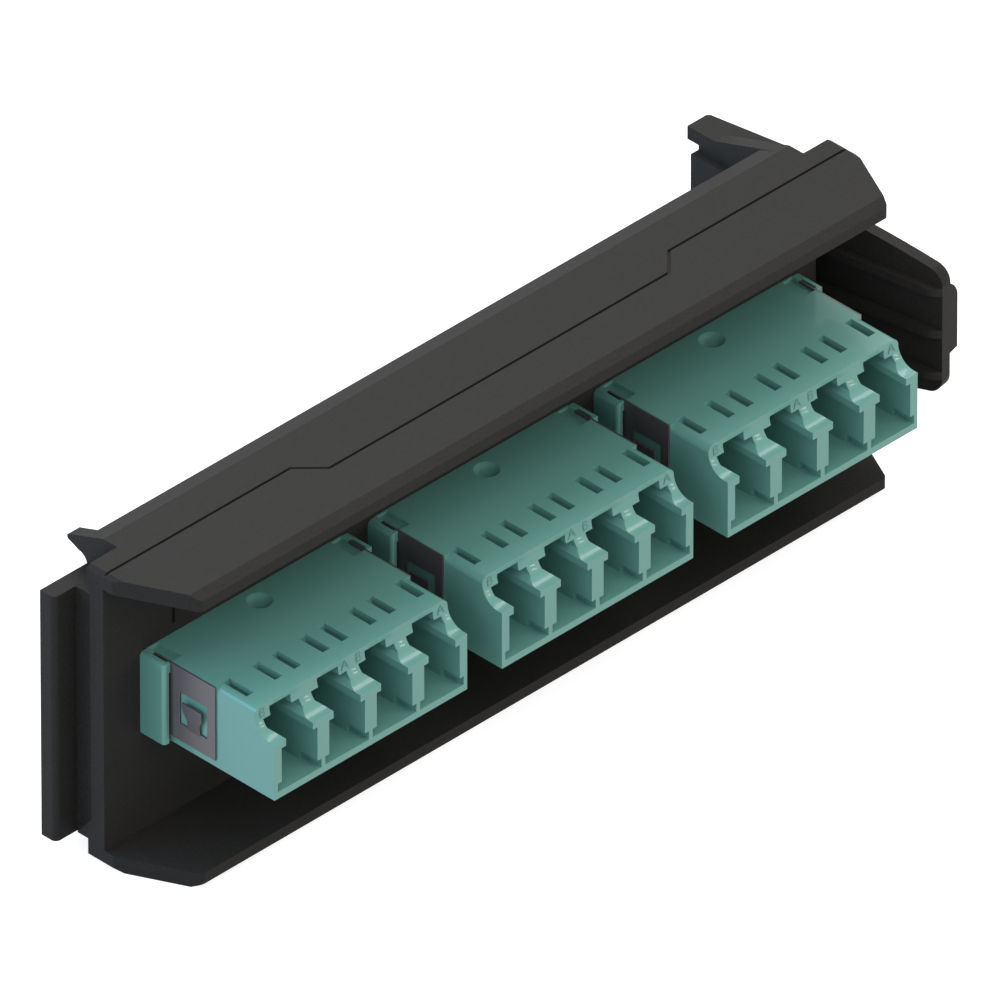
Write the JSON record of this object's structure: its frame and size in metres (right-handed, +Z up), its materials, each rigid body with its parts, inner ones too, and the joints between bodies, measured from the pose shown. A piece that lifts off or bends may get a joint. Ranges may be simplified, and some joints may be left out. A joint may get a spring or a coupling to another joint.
{
  "type": "fibre adapter plate",
  "caption": "Black moulded plate with rows of aqua fibre adapters between two flanges, a rear hook rail and a sprung latch lever, for snapping into a patch enclosure.",
  "frame": {"origin": "in the underside of the bottom flange, below the wall's front face, at half the plate's length", "axes": "+Z up, +X along the plate towards the latch lever, front ports face -Y"},
  "size_m": [0.1046, 0.0328, 0.0334],
  "materials": {
    "black_plastic": "fine matte moulded texture",
    "aqua_plastic": "satin moulded",
    "clip_steel": "rolled spring sheet",
    "sleeve_ceramic": "ground"
  },
  "bodies": {
    "adapter_plate": {"plate": "black_plastic", "adapter_1_front_housing": "aqua_plastic", "adapter_1_rear_housing": "aqua_plastic", "adapter_1_clip": "clip_steel", "adapter_1_sleeve_1": "sleeve_ceramic", "adapter_1_sleeve_2": "sleeve_ceramic", "adapter_1_sleeve_3": "sleeve_ceramic", "adapter_1_sleeve_4": "sleeve_ceramic", "adapter_2_front_housing": "aqua_plastic", "adapter_2_rear_housing": "aqua_plastic", "adapter_2_clip": "clip_steel", "adapter_2_sleeve_1": "sleeve_ceramic", "adapter_2_sleeve_2": "sleeve_ceramic", "adapter_2_sleeve_3": "sleeve_ceramic", "adapter_2_sleeve_4": "sleeve_ceramic", "adapter_3_front_housing": "aqua_plastic", "adapter_3_rear_housing": "aqua_plastic", "adapter_3_clip": "clip_steel", "adapter_3_sleeve_1": "sleeve_ceramic", "adapter_3_sleeve_2": "sleeve_ceramic", "adapter_3_sleeve_3": "sleeve_ceramic", "adapter_3_sleeve_4": "sleeve_ceramic"},
    "lever": {"latch_lever": "black_plastic"}
  },
  "joints": [
    {"name": "lever_press", "type": "hinge", "parent": "adapter_plate", "child": "lever", "pos_m": [0.046, 0.0134, 0.01673], "axis": [0, 0, -1], "range_deg": [0, 7], "stiffness_Nm_per_rad": 0.6}
  ]
}
